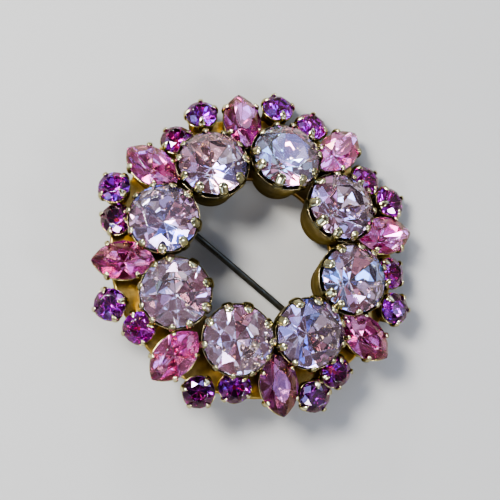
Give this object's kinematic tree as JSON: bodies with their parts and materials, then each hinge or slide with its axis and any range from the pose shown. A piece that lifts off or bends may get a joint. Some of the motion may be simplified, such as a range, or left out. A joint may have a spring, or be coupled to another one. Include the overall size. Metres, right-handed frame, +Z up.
{
  "type": "wreath brooch",
  "caption": "Round open wreath brooch with claw-set faceted round and pointed-oval stones in tiers on a gold-coloured ring, and a hinged pin with a catch at the back.",
  "frame": {"origin": "bottom centre of the whole brooch's box, on the surface that it lies on", "axes": "+Z up from the surface; +X and +Y as right and up in the picture; the brooch leans 9 degrees down towards its upper right, on its hinge, its catch and its rim"},
  "size_m": [0.0408, 0.0416, 0.0116],
  "materials": {
    "gold_metal": "antique gold plate over brass, worn darker in the hollows",
    "pin_metal": "gold-washed spring steel, dulled",
    "pale_glass": "cut and polished, pale lilac pink",
    "rose_glass": "cut and polished, rose",
    "fuchsia_glass": "cut and polished, deep fuchsia"
  },
  "bodies": {
    "brooch": {"brooch_frame": "gold_metal", "large_stone_1": "pale_glass", "large_stone_2": "pale_glass", "large_stone_3": "pale_glass", "large_stone_4": "pale_glass", "large_stone_5": "pale_glass", "large_stone_6": "pale_glass", "large_stone_7": "pale_glass", "large_stone_8": "pale_glass", "navette_1": "rose_glass", "navette_2": "rose_glass", "navette_3": "rose_glass", "navette_4": "rose_glass", "navette_5": "rose_glass", "navette_6": "rose_glass", "navette_7": "rose_glass", "navette_8": "rose_glass", "small_stone_1": "fuchsia_glass", "small_stone_2": "fuchsia_glass", "small_stone_3": "fuchsia_glass", "small_stone_4": "fuchsia_glass", "small_stone_5": "fuchsia_glass", "small_stone_6": "fuchsia_glass", "small_stone_7": "fuchsia_glass", "small_stone_8": "fuchsia_glass", "small_stone_9": "fuchsia_glass", "small_stone_10": "fuchsia_glass", "small_stone_11": "fuchsia_glass", "small_stone_12": "fuchsia_glass", "small_stone_13": "fuchsia_glass", "small_stone_14": "fuchsia_glass", "small_stone_15": "fuchsia_glass", "small_stone_16": "fuchsia_glass"},
    "pin": {"pin_stem": "pin_metal"}
  },
  "joints": [
    {"name": "pin_hinge", "type": "hinge", "parent": "brooch", "child": "pin", "pos_m": [0.00806, -0.01042, 0.00144], "axis": [-0.6401, -0.7521, 0.1567], "range_deg": [0, 110]}
  ]
}
